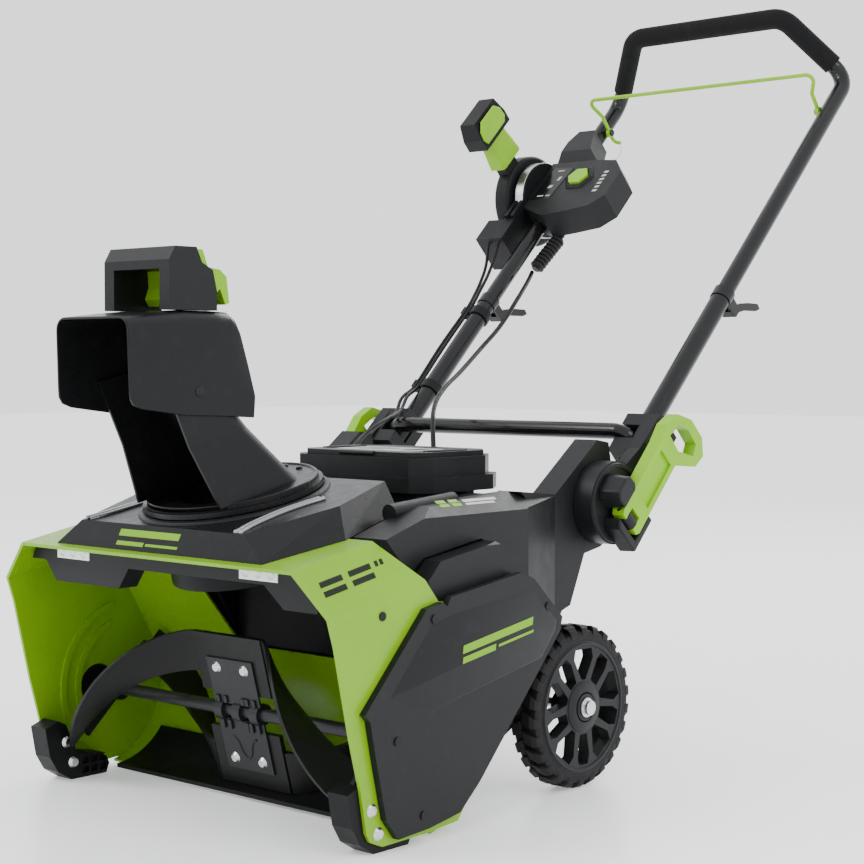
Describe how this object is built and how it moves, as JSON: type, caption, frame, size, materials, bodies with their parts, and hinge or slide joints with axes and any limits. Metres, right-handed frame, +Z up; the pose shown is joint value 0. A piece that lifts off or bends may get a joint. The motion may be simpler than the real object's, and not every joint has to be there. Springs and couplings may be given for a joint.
{
  "type": "battery powered single stage snow thrower",
  "caption": "Walk-behind battery snow thrower: green auger housing, turning chute with tilting deflector, wheels, and a folding tubular handle with joystick and bail.",
  "frame": {"origin": "centre of the bounding box at ground level", "axes": "+X across the machine to the left-hand side seen from behind the front, +Y towards the handle, +Z up; the auger housing faces -Y"},
  "size_m": [0.587, 1.2873, 1.0725],
  "materials": {
    "green_paint": "gloss",
    "black_plastic": "satin",
    "gloss_plastic": "gloss",
    "green_plastic": "satin",
    "tube_paint": "gloss",
    "rubber": "matte",
    "foam": "matte foam",
    "tyre": "matte",
    "rim_plastic": "satin",
    "steel": "zinc plated",
    "dark_steel": "satin",
    "aluminium": "cast",
    "lens": "clear",
    "pack_plastic": "satin",
    "cable_sheath": "satin"
  },
  "bodies": {
    "chassis": {"auger_hood": "green_paint", "scroll_housing": "green_paint", "chute_throat": "black_plastic", "scraper_bar": "black_plastic", "skid_shoe_l": "black_plastic", "skid_shoe_r": "black_plastic", "shoe_bolts": "steel", "light_bar": "black_plastic", "led_lenses": "lens", "top_shroud": "gloss_plastic", "side_cover_l": "black_plastic", "side_cover_r": "black_plastic", "fairing_l": "black_plastic", "fairing_r": "black_plastic", "rear_housing": "black_plastic", "battery_box": "black_plastic", "motor_controller": "aluminium", "motor_body": "aluminium", "drive_belt": "rubber", "axle": "steel", "wheel_nuts": "steel", "auger_bearings": "black_plastic", "cover_screws": "steel", "chute_cables": "cable_sheath", "power_cable": "cable_sheath"},
    "auger": {"auger_shaft": "dark_steel", "auger_spiral_l": "rubber", "auger_spiral_r": "rubber", "auger_paddles": "rubber", "auger_bracket": "dark_steel", "auger_bolts": "steel", "auger_pulley": "aluminium"},
    "motor_rotor": {"motor_pulley": "steel"},
    "wheel_l": {"tyre_l": "tyre", "rim_l": "rim_plastic"},
    "wheel_r": {"tyre_r": "tyre", "rim_r": "rim_plastic"},
    "chute": {"chute": "gloss_plastic"},
    "deflector": {"deflector": "gloss_plastic", "deflector_grip": "black_plastic"},
    "trigger": {"deflector_trigger": "green_plastic"},
    "battery_lid": {"battery_lid": "black_plastic"},
    "latch": {"lid_latch": "black_plastic"},
    "battery_pack": {"battery_pack": "pack_plastic"},
    "lower_handle": {"lower_frame": "tube_paint", "handle_brackets": "black_plastic", "cable_clips": "black_plastic"},
    "lock_lever_l": {"lock_lever_l": "green_plastic"},
    "lock_lever_r": {"lock_lever_r": "green_plastic"},
    "upper_handle": {"upper_tube": "tube_paint", "foam_grip": "foam", "control_box": "black_plastic", "joystick_housing": "black_plastic", "cable_boot": "rubber"},
    "qr_lever_l": {"qr_lever_l": "tube_paint"},
    "qr_lever_r": {"qr_lever_r": "tube_paint"},
    "bail": {"bail": "green_plastic"},
    "start_button": {"start_button": "green_plastic"},
    "joystick": {"joystick_lever": "green_plastic", "joystick_grip": "black_plastic"}
  },
  "joints": [
    {"name": "auger_spin", "type": "hinge", "parent": "chassis", "child": "auger", "pos_m": [0, -0.4216, 0.11], "axis": [1, 0, 0], "continuous": true},
    {"name": "motor_spin", "type": "hinge", "parent": "chassis", "child": "motor_rotor", "pos_m": [0, -0.2416, 0.19], "axis": [1, 0, 0], "continuous": true},
    {"name": "wheel_l_spin", "type": "hinge", "parent": "chassis", "child": "wheel_l", "pos_m": [0.243, -0.0916, 0.101], "axis": [1, 0, 0], "continuous": true},
    {"name": "wheel_r_spin", "type": "hinge", "parent": "chassis", "child": "wheel_r", "pos_m": [-0.243, -0.0916, 0.101], "axis": [1, 0, 0], "continuous": true},
    {"name": "chute_turn", "type": "hinge", "parent": "chassis", "child": "chute", "pos_m": [0, -0.4336, 0.371], "axis": [0, -0.2164, 0.9763], "range_deg": [-95, 95]},
    {"name": "deflector_tilt", "type": "hinge", "parent": "chute", "child": "deflector", "pos_m": [0, -0.5426, 0.495], "axis": [1, 0, 0], "range_deg": [0, 40]},
    {"name": "trigger_squeeze", "type": "hinge", "parent": "deflector", "child": "trigger", "pos_m": [0, -0.5216, 0.618], "axis": [1, 0, 0], "range_deg": [-8, 0], "stiffness_Nm_per_rad": 0.6, "springref_deg": 17.19},
    {"name": "lid_hinge", "type": "hinge", "parent": "chassis", "child": "battery_lid", "pos_m": [0, -0.2236, 0.413], "axis": [-1, 0, 0], "range_deg": [-100, 0]},
    {"name": "latch_lift", "type": "hinge", "parent": "battery_lid", "child": "latch", "pos_m": [0, -0.0896, 0.4123], "axis": [1, 0, 0], "range_deg": [0, 20], "stiffness_Nm_per_rad": 0.02, "springref_deg": -17.19},
    {"name": "pack_eject", "type": "slide", "parent": "chassis", "child": "battery_pack", "axis": [0, 0, 1], "range_m": [0, 0.006]},
    {"name": "handle_fold", "type": "hinge", "parent": "chassis", "child": "lower_handle", "pos_m": [0, -0.0176, 0.35], "axis": [1, 0, 0], "range_deg": [0, 92], "deforming": ["chute_cables", "power_cable"]},
    {"name": "lock_lever_l_swing", "type": "hinge", "parent": "lower_handle", "child": "lock_lever_l", "pos_m": [0.273, -0.0176, 0.33], "axis": [0, 0.7193, -0.6947], "range_deg": [0, 100]},
    {"name": "lock_lever_r_swing", "type": "hinge", "parent": "lower_handle", "child": "lock_lever_r", "pos_m": [-0.273, -0.0176, 0.33], "axis": [0, -0.7193, 0.6947], "range_deg": [0, 100]},
    {"name": "handle_height", "type": "slide", "parent": "lower_handle", "child": "upper_handle", "axis": [0, 0.712, 0.7022], "range_m": [-0.06, 0], "deforming": ["chute_cables", "power_cable"]},
    {"name": "qr_lever_l_swing", "type": "hinge", "parent": "lower_handle", "child": "qr_lever_l", "pos_m": [0.214, 0.3132, 0.59984], "axis": [1, 0, 0], "range_deg": [-40, 0]},
    {"name": "qr_lever_r_swing", "type": "hinge", "parent": "lower_handle", "child": "qr_lever_r", "pos_m": [-0.214, 0.3132, 0.59984], "axis": [1, 0, 0], "range_deg": [-40, 0]},
    {"name": "bail_pull", "type": "hinge", "parent": "upper_handle", "child": "bail", "pos_m": [0, 0.5862, 0.9098], "axis": [1, 0, 0], "range_deg": [-45, 0], "stiffness_Nm_per_rad": 0.8, "springref_deg": 28.65},
    {"name": "start_press", "type": "slide", "parent": "upper_handle", "child": "start_button", "axis": [0, -0.7022, 0.712], "range_m": [-0.002, 0], "stiffness_N_per_m": 400, "springref_m": 0.002},
    {"name": "joystick_tilt", "type": "hinge", "parent": "upper_handle", "child": "joystick", "pos_m": [0, 0.47153, 0.79249], "axis": [1, 0, 0], "range_deg": [-50, 50]}
  ],
  "couplings": [
    {"joint": "motor_spin", "follows": "auger_spin", "ratio": 3.6471},
    {"joint": "joystick_tilt", "follows": "chute_turn", "ratio": 0.5}
  ]
}
